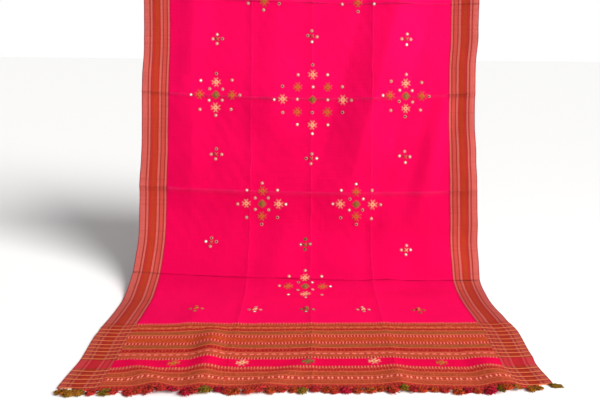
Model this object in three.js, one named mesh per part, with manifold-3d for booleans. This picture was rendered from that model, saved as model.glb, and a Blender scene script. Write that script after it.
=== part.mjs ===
// A woven shawl hung over a round rail, its lower end swept forward over the floor.
// Millimetres, +Z up, X along the rail, and the face of the cloth towards -Y.
// The origin is the middle of the rail.
import * as THREE from "three";
import Module from "manifold-3d";

const wasm = await Module();
wasm.setup();

// The cloth as it is woven: u runs across from its middle, v along from its front end.
const CLOTH_WIDTH = 950;
const CLOTH_LENGTH = 2140;
const CLOTH_THICKNESS = 2;
const BORDER_WIDTH = 75;
const END_PANEL_DEPTH = 292;
const SEAM_GAP = 0.3;

// The rail, and the cloth's way down from it to the floor and forward.
const RAIL_RADIUS = 12.5;
const RAIL_LENGTH = 1100;
const RAIL_SIDES = 32;
const RAIL_CLEARANCE = 0.6;
const HANG_LENGTH = 920;
const FLOOR_REACH = 555;
const LEAN = THREE.MathUtils.degToRad(5.5);
const SWEEP_RADIUS = 184;
const SWEEP_RADIUS_CHANGE = 0.119;

// How much narrower the cloth's soft waves make it where it hangs.
const TAKE_IN = 0.02;
const TAKE_IN_START = 550;
const TAKE_IN_END = 1350;

// Fold lines left by storage: crosswise ones at each v, and lengthwise ones at each u.
const CROSS_CREASES = [
  { at: 266, height: 1.5 },
  { at: 540, height: -2.5 },
  { at: 797, height: 3 },
  { at: 1062, height: 3 },
  { at: 1327, height: 2.5 },
  { at: 1600, height: 2.5 },
  { at: 1868, height: 2 },
];
const LONG_CREASES = [
  { at: -330, height: 1 },
  { at: -165, height: 2.5 },
  { at: 8, height: 2.5 },
  { at: 178, height: 2.5 },
  { at: 345, height: 1.5 },
];
const CREASE_REACH = 22;
const CREASE_LINE = 12;

// Soft ridges, one a row. A ridge rises between start and full, fades between fade and end,
// and its crest runs from uStart to uEnd. half is its half width, and height its crest.
const RIDGES = [
  { start: -200, full: -40, fade: 30, end: 140, uStart: -150, uEnd: -388, half: 46, height: 8.5 },
  { start: -120, full: 110, fade: 190, end: 330, uStart: -196, uEnd: -224, half: 44, height: 9 },
  { start: 190, full: 280, fade: 310, end: 450, uStart: -268, uEnd: -280, half: 46, height: 3 },
  { start: -200, full: -40, fade: 40, end: 150, uStart: -245, uEnd: 34, half: 44, height: 3.5 },
  { start: -200, full: -40, fade: 40, end: 150, uStart: 195, uEnd: 166, half: 44, height: 4 },
  { start: -200, full: -40, fade: 50, end: 180, uStart: 398, uEnd: 358, half: 48, height: 8 },
  { start: 560, full: 760, fade: 1640, end: 1980, uStart: 120, uEnd: 420, half: 88, height: 15 },
  { start: 640, full: 820, fade: 1560, end: 1900, uStart: 452, uEnd: 470, half: 66, height: 10 },
  { start: 690, full: 900, fade: 1600, end: 1990, uStart: -335, uEnd: -330, half: 66, height: 7 },
  { start: 820, full: 1010, fade: 1700, end: 2060, uStart: -120, uEnd: -60, half: 92, height: 7 },
  { start: 470, full: 560, fade: 690, end: 800, uStart: 215, uEnd: 240, half: 70, height: 5 },
  { start: 480, full: 580, fade: 720, end: 800, uStart: -95, uEnd: -60, half: 76, height: 4 },
  { start: 1500, full: 1660, fade: 2200, end: 2400, uStart: -455, uEnd: -440, half: 70, height: 9 },
  { start: 1540, full: 1720, fade: 2200, end: 2400, uStart: -215, uEnd: -190, half: 84, height: 11 },
  { start: 1600, full: 1790, fade: 2200, end: 2400, uStart: 70, uEnd: 120, half: 90, height: 9 },
  { start: 1560, full: 1760, fade: 2200, end: 2400, uStart: 330, uEnd: 300, half: 80, height: 10 },
];

// How far the front end is drawn forward over the floor at the right, over a half width of PULL_HALF.
const PULL = 9.5;
const PULL_MIDDLE = 330;
const PULL_HALF = 200;
const PULL_START = -50;
const PULL_END = 500;

// Fringe: one soft lock for each tuft, their roots woven into a narrow strip beside the cloth's end.
const STRIP_DEPTH = 3;
const LOCK_COUNT = 46;
const LOCK_LENGTHS = [19, 16, 21, 18, 23, 17, 20, 22];
const CORNER_LOCK_LENGTH = 27;
const LOCK_ROOT = { halfWidth: 5, halfHeight: 0.7, lift: 1 };
const LOCK_BELLY = { halfWidth: 7.6, halfHeight: 3.6, lift: 4.6, along: 0.5 };
const LOCK_TIP_LIFT = 1.6;

// Grid steps of the walls, and how far the stretch over the rail runs on past it.
const COLUMN_STEP = 38;
const FLAT_ROW_STEP = 75;
const SWEEP_ROW_STEP = 36;
const FRONT_COLUMN_STEP = 20;
const FRONT_ROW_STEP = 32;
const RAIL_ROW_STEP = 5;
const RAIL_MARGIN = 6;

const HALF_WIDTH = CLOTH_WIDTH / 2;
const HALF_FIELD = HALF_WIDTH - BORDER_WIDTH;
const HALF_GAP = SEAM_GAP / 2;

const WRAP_RADIUS = RAIL_RADIUS + RAIL_CLEARANCE;
const SWEEP_TURN = Math.PI / 2 - LEAN;
const RAIL_START = FLOOR_REACH + HANG_LENGTH;
const RAIL_TURN = Math.PI - LEAN;
const RAIL_END = RAIL_START + WRAP_RADIUS * RAIL_TURN;
const RAIL_Y = HANG_LENGTH * Math.sin(LEAN) + WRAP_RADIUS * Math.cos(LEAN);
const RAIL_Z = HANG_LENGTH * Math.cos(LEAN) - WRAP_RADIUS * Math.sin(LEAN);

function creaseHeight(creases, place) {
  let sum = 0;
  for (const { at, height } of creases) {
    const nearness = Math.max(0, 1 - Math.abs(place - at) / CREASE_REACH);
    sum += height * nearness * nearness;
  }
  return sum;
}

// Height of the soft ridges and fold lines over the cloth's plain way.
function reliefHeight(u, v) {
  let height = creaseHeight(CROSS_CREASES, v) + creaseHeight(LONG_CREASES, u);
  for (const ridge of RIDGES) {
    const rise = THREE.MathUtils.smoothstep(v, ridge.start, ridge.full);
    const fall = 1 - THREE.MathUtils.smoothstep(v, ridge.fade, ridge.end);
    const crest = THREE.MathUtils.mapLinear(v, ridge.start, ridge.end, ridge.uStart, ridge.uEnd);
    const offset = Math.min(1, Math.abs(u - crest) / ridge.half);
    height += ridge.height * rise * fall * Math.cos((offset * Math.PI) / 2) ** 2;
  }
  return height;
}

// How far a point of the cloth on the floor is drawn forward.
function pullForward(u, v) {
  const offset = Math.min(1, Math.abs(u - PULL_MIDDLE) / PULL_HALF);
  const share = 1 - THREE.MathUtils.smoothstep(v, PULL_START, PULL_END);
  return PULL * share * Math.cos((offset * Math.PI) / 2) ** 2;
}

// The plain way of the cloth's underside: along the floor, up the sweep, up to the rail,
// over it and down behind. The sweep's radius grows towards the left side.
function plainWay(u, v) {
  const radius = SWEEP_RADIUS - SWEEP_RADIUS_CHANGE * u;
  const tangent = radius * Math.tan(SWEEP_TURN / 2);
  const sweepEnd = FLOOR_REACH + tangent;
  const sweepStart = sweepEnd - radius * SWEEP_TURN;
  if (v < sweepStart) {
    return { y: v - sweepStart - tangent, z: 0, heading: 0 };
  }
  if (v < sweepEnd) {
    const heading = (v - sweepStart) / radius;
    return { y: radius * Math.sin(heading) - tangent, z: radius * (1 - Math.cos(heading)), heading };
  }
  if (v < RAIL_START) {
    const climb = v - FLOOR_REACH;
    return { y: climb * Math.sin(LEAN), z: climb * Math.cos(LEAN), heading: SWEEP_TURN };
  }
  if (v < RAIL_END) {
    const heading = SWEEP_TURN - (v - RAIL_START) / WRAP_RADIUS;
    return {
      y: RAIL_Y - WRAP_RADIUS * Math.sin(heading),
      z: RAIL_Z + WRAP_RADIUS * Math.cos(heading),
      heading,
    };
  }
  return { y: RAIL_Y + WRAP_RADIUS, z: RAIL_Z - (v - RAIL_END), heading: -Math.PI / 2 };
}

// A point of the cloth, lift millimetres out from its underside, measured from the rail's middle.
function clothPoint(u, v, lift) {
  const way = plainWay(u, v);
  const out = reliefHeight(u, v) + lift;
  const forward = pullForward(u, v) * Math.cos(way.heading);
  const narrowing = 1 - TAKE_IN * THREE.MathUtils.smoothstep(v, TAKE_IN_START, TAKE_IN_END);
  return [
    u * narrowing,
    way.y - RAIL_Y - Math.sin(way.heading) * out - forward,
    way.z - RAIL_Z + Math.cos(way.heading) * out,
  ];
}

// Grid lines from low to high: even steps between the creases, and three lines at each crease.
function gridLines(low, high, creases, step) {
  const knots = [low];
  for (const { at } of creases) {
    for (const line of [at - CREASE_LINE, at, at + CREASE_LINE]) {
      if (line > low + CREASE_LINE / 2 && line < high - CREASE_LINE / 2) {
        knots.push(line);
      }
    }
  }
  knots.push(high);
  const lines = [low];
  for (let index = 1; index < knots.length; index += 1) {
    const span = knots[index] - knots[index - 1];
    const parts = Math.max(1, Math.round(span / step));
    for (let part = 1; part <= parts; part += 1) {
      lines.push(knots[index - 1] + (span * part) / parts);
    }
  }
  return lines;
}

// A closed wall of cloth between its underside and its face, over a grid of u and v lines.
function clothWall(columns, rows) {
  const vertProperties = [];
  for (const lift of [0, CLOTH_THICKNESS]) {
    for (const v of rows) {
      for (const u of columns) {
        vertProperties.push(...clothPoint(u, v, lift));
      }
    }
  }
  const across = columns.length;
  const along = rows.length;
  const corner = (side, i, j) => side * across * along + j * across + i;
  const triVerts = [];
  const quad = (a, b, c, d) => triVerts.push(a, b, c, a, c, d);
  for (let j = 0; j + 1 < along; j += 1) {
    for (let i = 0; i + 1 < across; i += 1) {
      quad(corner(1, i, j), corner(1, i + 1, j), corner(1, i + 1, j + 1), corner(1, i, j + 1));
      quad(corner(0, i, j), corner(0, i, j + 1), corner(0, i + 1, j + 1), corner(0, i + 1, j));
    }
  }
  for (let i = 0; i + 1 < across; i += 1) {
    const last = along - 1;
    quad(corner(0, i, 0), corner(0, i + 1, 0), corner(1, i + 1, 0), corner(1, i, 0));
    quad(corner(0, i + 1, last), corner(0, i, last), corner(1, i, last), corner(1, i + 1, last));
  }
  for (let j = 0; j + 1 < along; j += 1) {
    const last = across - 1;
    quad(corner(0, 0, j + 1), corner(0, 0, j), corner(1, 0, j), corner(1, 0, j + 1));
    quad(corner(0, last, j), corner(0, last, j + 1), corner(1, last, j + 1), corner(1, last, j));
  }
  return { vertProperties, triVerts };
}

// One lock of fringe: a four-sided body from its root in the strip, over its belly, to a point.
// Its place along the cloth runs outwards from the end at endV, in the direction of outward.
function fringeLock(u, endV, outward, length) {
  const rootV = endV + outward * (SEAM_GAP + STRIP_DEPTH / 2);
  const tipV = endV + outward * (SEAM_GAP + STRIP_DEPTH + length);
  const vertProperties = [];
  for (const [ring, v] of [
    [LOCK_ROOT, rootV],
    [LOCK_BELLY, rootV + (tipV - rootV) * LOCK_BELLY.along],
  ]) {
    vertProperties.push(...clothPoint(u - ring.halfWidth, v, ring.lift));
    vertProperties.push(...clothPoint(u, v, ring.lift - ring.halfHeight));
    vertProperties.push(...clothPoint(u + ring.halfWidth, v, ring.lift));
    vertProperties.push(...clothPoint(u, v, ring.lift + ring.halfHeight));
  }
  vertProperties.push(...clothPoint(u, tipV, LOCK_TIP_LIFT));
  const triVerts = [0, 2, 1, 0, 3, 2];
  for (let side = 0; side < 4; side += 1) {
    const next = (side + 1) % 4;
    triVerts.push(side, next, 4 + next, side, 4 + next, 4 + side, 4 + side, 4 + next, 8);
  }
  if (outward > 0) {
    for (let index = 0; index < triVerts.length; index += 3) {
      [triVerts[index], triVerts[index + 1]] = [triVerts[index + 1], triVerts[index]];
    }
  }
  return { vertProperties, triVerts };
}

function manifoldOf({ vertProperties, triVerts }) {
  return new wasm.Manifold(
    new wasm.Mesh({
      numProp: 3,
      vertProperties: new Float32Array(vertProperties),
      triVerts: new Uint32Array(triVerts),
    }),
  );
}

// The strip of a fringe with all of its locks joined to it, a grid line of the strip at each lock.
function fringeSolid(endV, outward) {
  const near = endV + outward * SEAM_GAP;
  const far = near + outward * STRIP_DEPTH;
  const pitch = CLOTH_WIDTH / LOCK_COUNT;
  const places = Array.from({ length: LOCK_COUNT }, (_, index) => (index + 0.5) * pitch - HALF_WIDTH);
  const stripColumns = [-HALF_WIDTH, ...places, HALF_WIDTH];
  let solid = manifoldOf(clothWall(stripColumns, [Math.min(near, far), Math.max(near, far)]));
  places.forEach((u, index) => {
    const isCorner = index === 0 || index === LOCK_COUNT - 1;
    const length = isCorner ? CORNER_LOCK_LENGTH : LOCK_LENGTHS[(index * 5) % LOCK_LENGTHS.length];
    solid = solid.add(manifoldOf(fringeLock(u, endV, outward, length)));
  });
  return solid.getMesh();
}

const MATERIALS = {
  field: new THREE.MeshStandardMaterial({ color: 0xf00a58, roughness: 0.9, metalness: 0 }),
  border: new THREE.MeshStandardMaterial({ color: 0xc45040, roughness: 0.9, metalness: 0 }),
  endPanel: new THREE.MeshStandardMaterial({ color: 0xb84a38, roughness: 0.9, metalness: 0 }),
  fringe: new THREE.MeshStandardMaterial({ color: 0x9e7026, roughness: 0.95, metalness: 0 }),
  rail: new THREE.MeshStandardMaterial({ color: 0xb98c5a, roughness: 0.5, metalness: 0 }),
};

const group = new THREE.Group();

function addSolid(name, material, { vertProperties, triVerts }) {
  const geometry = new THREE.BufferGeometry();
  geometry.setAttribute("position", new THREE.Float32BufferAttribute(vertProperties, 3));
  geometry.setIndex(Array.from(triVerts));
  geometry.computeVertexNormals();
  const mesh = new THREE.Mesh(geometry, MATERIALS[material].clone());
  mesh.name = name;
  group.add(mesh);
}

// Columns of the cloth from selvedge to selvedge, each piece keeping half a gap at its seam.
const COLUMNS = {
  left_border: gridLines(-HALF_WIDTH, -HALF_FIELD - HALF_GAP, LONG_CREASES, COLUMN_STEP),
  field: gridLines(-HALF_FIELD + HALF_GAP, HALF_FIELD - HALF_GAP, LONG_CREASES, COLUMN_STEP),
  right_border: gridLines(HALF_FIELD + HALF_GAP, HALF_WIDTH, LONG_CREASES, COLUMN_STEP),
};
const backColumns = gridLines(-HALF_WIDTH, HALF_WIDTH, LONG_CREASES, COLUMN_STEP);
const frontColumns = gridLines(-HALF_WIDTH, HALF_WIDTH, LONG_CREASES, FRONT_COLUMN_STEP);

// Stretches of the cloth from front to back, between the two end panels.
const STRETCHES = [
  { name: "on_floor", from: END_PANEL_DEPTH, to: 415, step: FLAT_ROW_STEP },
  { name: "sweep", from: 415, to: 770, step: SWEEP_ROW_STEP },
  { name: "hanging", from: 770, to: RAIL_START - RAIL_MARGIN, step: FLAT_ROW_STEP },
  { name: "over_rail", from: RAIL_START - RAIL_MARGIN, to: RAIL_END + RAIL_MARGIN, step: RAIL_ROW_STEP },
  { name: "back", from: RAIL_END + RAIL_MARGIN, to: CLOTH_LENGTH - END_PANEL_DEPTH, step: FLAT_ROW_STEP },
];

for (const { name, from, to, step } of STRETCHES) {
  const rows = gridLines(from + HALF_GAP, to - HALF_GAP, CROSS_CREASES, step);
  for (const [piece, columns] of Object.entries(COLUMNS)) {
    const material = piece === "field" ? "field" : "border";
    addSolid(`${piece}_${name}`, material, clothWall(columns, rows));
  }
}

const frontRows = gridLines(0, END_PANEL_DEPTH - HALF_GAP, CROSS_CREASES, FRONT_ROW_STEP);
const backRows = gridLines(
  CLOTH_LENGTH - END_PANEL_DEPTH + HALF_GAP,
  CLOTH_LENGTH,
  CROSS_CREASES,
  FLAT_ROW_STEP,
);
addSolid("end_panel_front", "endPanel", clothWall(frontColumns, frontRows));
addSolid("end_panel_back", "endPanel", clothWall(backColumns, backRows));
addSolid("fringe_front", "fringe", fringeSolid(0, -1));
addSolid("fringe_back", "fringe", fringeSolid(CLOTH_LENGTH, 1));

const rail = new THREE.Mesh(
  new THREE.CylinderGeometry(RAIL_RADIUS, RAIL_RADIUS, RAIL_LENGTH, RAIL_SIDES),
  MATERIALS.rail,
);
rail.name = "rail";
rail.rotation.z = Math.PI / 2;
group.add(rail);

export default group;
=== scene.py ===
import math
import random

import bmesh
import bpy
import numpy as np
from mathutils import Euler, Matrix, Vector


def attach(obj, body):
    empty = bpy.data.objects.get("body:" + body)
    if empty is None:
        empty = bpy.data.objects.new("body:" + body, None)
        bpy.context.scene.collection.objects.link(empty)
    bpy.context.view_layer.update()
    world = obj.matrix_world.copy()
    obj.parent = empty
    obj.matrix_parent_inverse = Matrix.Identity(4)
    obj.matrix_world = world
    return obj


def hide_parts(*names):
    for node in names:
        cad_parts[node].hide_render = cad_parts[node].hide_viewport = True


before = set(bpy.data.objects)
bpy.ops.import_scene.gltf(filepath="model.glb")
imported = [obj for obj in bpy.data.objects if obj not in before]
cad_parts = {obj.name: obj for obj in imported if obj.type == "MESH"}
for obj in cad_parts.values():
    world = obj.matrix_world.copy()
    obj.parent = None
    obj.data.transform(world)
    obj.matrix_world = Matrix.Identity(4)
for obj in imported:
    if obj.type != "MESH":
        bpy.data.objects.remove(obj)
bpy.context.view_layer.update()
random.seed(11)

# The cloth as it is woven, in metres: u runs across from its middle, v along from its front end.
CLOTH_WIDTH = 0.95
CLOTH_LENGTH = 2.14
CLOTH_THICKNESS = 0.0014
BORDER_WIDTH = 0.075
END_PANEL_DEPTH = 0.292
HALF_WIDTH = CLOTH_WIDTH / 2
HALF_FIELD = HALF_WIDTH - BORDER_WIDTH
CELL = 0.0068

# The way of the cloth from the floor up to the rail and down behind it.
RAIL_RADIUS = 0.0125
RAIL_CLEARANCE = 0.0006
HANG_LENGTH = 0.92
FLOOR_REACH = 0.555
LEAN = math.radians(5.5)
SWEEP_RADIUS = 0.184
SWEEP_RADIUS_CHANGE = 0.119
TAKE_IN = 0.02
TAKE_IN_START = 0.55
TAKE_IN_END = 1.35

WRAP_RADIUS = RAIL_RADIUS + RAIL_CLEARANCE
SWEEP_TURN = math.pi / 2 - LEAN
RAIL_START = FLOOR_REACH + HANG_LENGTH
RAIL_END = RAIL_START + WRAP_RADIUS * (math.pi - LEAN)
RAIL_Y = HANG_LENGTH * math.sin(LEAN) + WRAP_RADIUS * math.cos(LEAN)
RAIL_Z = HANG_LENGTH * math.cos(LEAN) - WRAP_RADIUS * math.sin(LEAN)

# Fold lines left by storage. A crosswise one has at, tilt, bow, height and below: it runs at
# v = at + tilt u + bow u squared, and its sharp middle fades over below metres on its lower side.
# A lengthwise one has its u and its height.
CREASE_REACH = 0.022
CROSS_CREASES = [
    (0.268, 0.004, 0.02, 0.0015, 0.005),
    (0.5375, -0.014, 0.05, -0.0025, 0.005),
    (0.7925, -0.005, 0.055, 0.0026, 0.018),
    (1.0575, 0.0, 0.08, 0.0028, 0.011),
    (1.3255, -0.02, 0.04, 0.0025, 0.005),
    (1.605, 0.01, 0.03, 0.0025, 0.010),
    (1.8725, -0.006, 0.04, 0.002, 0.008),
]
LONG_CREASES = [(-0.330, 0.0003), (-0.165, 0.0016), (0.008, 0.0016), (0.178, 0.0016), (0.345, 0.0004)]

# Soft ridges: start, full, fade, end, u_start, u_end, half, height and sharp. A ridge rises
# between start and full and fades between fade and end along v, its crest running from u_start
# to u_end. half is its half width, and sharp how peaked it is.
RIDGES = [
    (-0.20, -0.04, 0.03, 0.14, -0.150, -0.388, 0.046, 0.0085, 0.3),
    (-0.12, 0.11, 0.19, 0.33, -0.196, -0.224, 0.044, 0.009, 0.3),
    (0.19, 0.28, 0.31, 0.45, -0.268, -0.280, 0.046, 0.003, 0.3),
    (-0.20, -0.04, 0.04, 0.15, -0.245, 0.034, 0.044, 0.0035, 0.3),
    (-0.20, -0.04, 0.04, 0.15, 0.195, 0.166, 0.044, 0.004, 0.3),
    (-0.20, -0.04, 0.05, 0.18, 0.398, 0.358, 0.048, 0.008, 0.2),
    (0.66, 1.00, 1.64, 1.98, 0.078, 0.419, 0.100, 0.0150, 0.8),
    (0.66, 1.00, 1.37, 1.47, 0.078, 0.287, 0.100, 0.0085, 0.8),
    (0.64, 0.82, 1.56, 1.90, 0.452, 0.470, 0.066, 0.010, 0.2),
    (0.69, 0.90, 1.60, 1.99, -0.335, -0.330, 0.066, 0.007, 0.4),
    (0.82, 1.01, 1.70, 2.06, -0.120, -0.060, 0.092, 0.007, 0.3),
    (0.47, 0.56, 0.69, 0.80, 0.215, 0.240, 0.070, 0.005, 0.3),
    (0.48, 0.58, 0.72, 0.80, -0.095, -0.060, 0.076, 0.004, 0.3),
    (1.50, 1.66, 2.20, 2.40, -0.455, -0.440, 0.070, 0.009, 0.2),
    (1.54, 1.72, 2.20, 2.40, -0.215, -0.190, 0.084, 0.011, 0.2),
    (1.60, 1.79, 2.20, 2.40, 0.070, 0.120, 0.090, 0.009, 0.2),
    (1.56, 1.76, 2.20, 2.40, 0.330, 0.300, 0.080, 0.010, 0.2),
    (0.66, 0.86, 1.00, 1.14, 0.294, 0.407, 0.047, 0.0085, 0.2),
    (0.84, 1.06, 1.34, 1.50, -0.410, -0.290, 0.050, 0.003, 0.5),
]

# How far the front end is drawn forward over the floor at the right.
PULL = 0.0095
PULL_MIDDLE = 0.33
PULL_HALF = 0.20
PULL_START = -0.05
PULL_END = 0.50

# Sideways wander of the selvedges, v and metres to the right.
LEFT_WANDER = [
    (0.00, -0.002), (0.11, 0.004), (0.22, -0.001), (0.41, 0.004), (0.51, 0.001), (0.64, 0.0),
    (0.75, -0.0045), (0.82, -0.005), (0.92, -0.001), (1.09, -0.0025), (1.20, 0.0015), (1.35, 0.0005),
    (1.70, -0.003), (1.90, 0.003), (2.14, 0.0),
]
RIGHT_WANDER = [
    (0.00, 0.0), (0.08, -0.006), (0.12, -0.001), (0.24, 0.007), (0.30, 0.0), (0.40, -0.0075),
    (0.52, -0.0025), (0.61, 0.0055), (0.70, 0.005), (0.82, 0.002), (0.90, -0.001), (1.01, -0.006),
    (1.14, -0.004), (1.24, 0.003), (1.36, 0.003), (1.65, -0.003), (1.88, 0.003), (2.14, 0.0),
]


def smoothstep(x, low, high):
    t = np.clip((x - low) / (high - low), 0, 1)
    return t * t * (3 - 2 * t)


def crease_profile(distance):
    nearness = np.clip(1 - np.abs(distance) / CREASE_REACH, 0, 1)
    return nearness * nearness


def soft_waves(u, v, seed, wavelength):
    """A smooth uneven field between about -1 and 1, from a few crossing waves."""
    draw = random.Random(seed)
    total = np.zeros_like(u)
    for _ in range(6):
        angle = draw.uniform(0, math.pi)
        length = wavelength * draw.uniform(0.6, 1.7)
        along = u * math.cos(angle) + v * math.sin(angle)
        total += np.sin(along * 2 * math.pi / length + draw.uniform(0, 2 * math.pi))
    return total / 3


def fine_relief(u, v):
    """Small wrinkles left in the cloth, and the slight flutter of its selvedges."""
    off_floor = smoothstep(v, 0.50, 0.66)
    wrinkles = 0.0010 * soft_waves(u, v, 3, 0.13) + 0.0004 * soft_waves(u, v, 4, 0.045)
    edge = smoothstep(np.abs(u), HALF_WIDTH - 0.05, HALF_WIDTH)
    flutter = np.maximum(0, 0.0018 * edge * (1 + soft_waves(u * 0.1, v, 5, 0.12)))
    lying = np.maximum(0.5 * wrinkles, 0) + 0.25 * flutter
    return lying + (wrinkles + flutter - lying) * off_floor


def relief(u, v):
    out = fine_relief(u, v)
    for at, tilt, bow, height, _ in CROSS_CREASES:
        out = out + height * crease_profile(v - (at + tilt * u + bow * u * u))
    for at, height in LONG_CREASES:
        out = out + height * crease_profile(u - at)
    for start, full, fade, end, u_start, u_end, half, height, sharp in RIDGES:
        rise = smoothstep(v, start, full)
        fall = 1 - smoothstep(v, fade, end)
        share = (v - start) / (end - start)
        crest = u_start + share * (u_end - u_start)
        offset = np.minimum(1, np.abs(u - crest) / half)
        soft = np.cos(offset * math.pi / 2) ** 2
        profile = soft + sharp * (1 - offset - soft)
        out = out + height * rise * fall * profile
    return out


def plain_way(u, v):
    """y, z and heading of the cloth's underside before its relief."""
    radius = SWEEP_RADIUS - SWEEP_RADIUS_CHANGE * u
    tangent = radius * math.tan(SWEEP_TURN / 2)
    sweep_end = FLOOR_REACH + tangent
    sweep_start = sweep_end - radius * SWEEP_TURN
    swept = (v - sweep_start) / radius
    climb = v - FLOOR_REACH
    turned = SWEEP_TURN - (v - RAIL_START) / WRAP_RADIUS
    on_rail = (RAIL_Y - WRAP_RADIUS * np.sin(turned), RAIL_Z + WRAP_RADIUS * np.cos(turned), turned)
    way = [
        (v < sweep_start, v - sweep_start - tangent, 0 * v, 0 * v),
        (v < sweep_end, radius * np.sin(swept) - tangent, radius * (1 - np.cos(swept)), swept),
        (v < RAIL_START, climb * math.sin(LEAN), climb * math.cos(LEAN), 0 * v + SWEEP_TURN),
        (v < RAIL_END, *on_rail),
    ]
    behind = (RAIL_Y + WRAP_RADIUS, RAIL_Z - (v - RAIL_END), -math.pi / 2)
    stretches, *columns = zip(*way)
    return [np.select(stretches, column, last) for column, last in zip(columns, behind)]


def wander(table, v):
    """Smooth sideways offset along v through the rows of a table."""
    places, offsets = np.array(table).T
    near = np.clip(np.searchsorted(places, v) - 1, 0, len(places) - 2)
    share = smoothstep(v, places[near], places[near + 1])
    return offsets[near] + (offsets[near + 1] - offsets[near]) * share


def pull_forward(u, v):
    offset = np.minimum(1, np.abs(u - PULL_MIDDLE) / PULL_HALF)
    share = 1 - smoothstep(v, PULL_START, PULL_END)
    return PULL * share * np.cos(offset * math.pi / 2) ** 2


def cloth_points(points):
    """Places of points given as u, v and lift over the cloth's underside."""
    u, v, lift = points[:, 0], points[:, 1], points[:, 2]
    y, z, heading = plain_way(u, v)
    out = relief(u, v) + lift
    narrowing = 1 - TAKE_IN * smoothstep(v, TAKE_IN_START, TAKE_IN_END)
    nearness = (np.abs(u) / HALF_WIDTH) ** 3
    sway = np.where(u < 0, wander(LEFT_WANDER, v), wander(RIGHT_WANDER, v)) * nearness
    forward = pull_forward(u, v) * np.cos(heading)
    return np.column_stack(
        (
            u * narrowing + sway,
            y - RAIL_Y - np.sin(heading) * out - forward,
            z - RAIL_Z + np.cos(heading) * out,
        )
    )


def lay_on_cloth(mesh):
    """Moves a mesh modelled flat, in u, v and lift, onto the draped cloth."""
    flat = np.empty(len(mesh.vertices) * 3)
    mesh.vertices.foreach_get("co", flat)
    mesh.vertices.foreach_set("co", cloth_points(flat.reshape(-1, 3)).ravel())
    mesh.update()


# The studio light is bright, so a surface is this much darker than it shows. The reds of the
# field go past white in it, as in the photo.
LIGHT_GAIN = 1.4


def colour(red, green, blue):
    """Linear surface colour with alpha from the screen values that it shows in the studio light."""
    channels = []
    for value in (red, green, blue):
        share = value / 255
        linear = share / 12.92 if share <= 0.04045 else ((share + 0.055) / 1.055) ** 2.4
        channels.append(linear / LIGHT_GAIN)
    return (*channels, 1.0)


def put(socket, value):
    """Gives an input a plain value, or links it to one that the material works out."""
    if isinstance(value, Value):
        socket.id_data.links.new(value.socket, socket)
    else:
        socket.default_value = value


def worked_out(operation, swapped=False):
    """A method that sets a maths node over a Value and what is given with it."""
    def method(self, *others):
        made = self.socket.id_data.nodes.new("ShaderNodeMath")
        made.operation = operation
        terms = (*others, self) if swapped else (self, *others)
        for place, term in zip(made.inputs, terms):
            put(place, term)
        return Value(made.outputs["Value"])

    return method


class Value:
    """What a material works out at each point of its surface, for use in plain arithmetic."""

    __add__ = worked_out("ADD")
    __radd__ = worked_out("ADD", swapped=True)
    __sub__ = worked_out("SUBTRACT")
    __rsub__ = worked_out("SUBTRACT", swapped=True)
    __mul__ = worked_out("MULTIPLY")
    __truediv__ = worked_out("DIVIDE")
    __pow__ = worked_out("POWER")
    __abs__ = worked_out("ABSOLUTE")
    __gt__ = worked_out("GREATER_THAN")
    __lt__ = worked_out("LESS_THAN")
    times_plus = worked_out("MULTIPLY_ADD")
    larger = worked_out("MAXIMUM")
    smaller = worked_out("MINIMUM")
    sine = worked_out("SINE")
    fraction = worked_out("FRACT")

    def __init__(self, socket):
        self.socket = socket

    def clamped(self):
        """The same value, kept between 0 and 1."""
        self.socket.node.use_clamp = True
        return self


# How steeply a spot rises out of its noise.
SPOT_STEEPNESS = 5
# The colour inputs and the colour output of a mix node, which has others for its other kinds.
MIX_A = 6
MIX_B = 7
MIX_RESULT = 2


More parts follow.
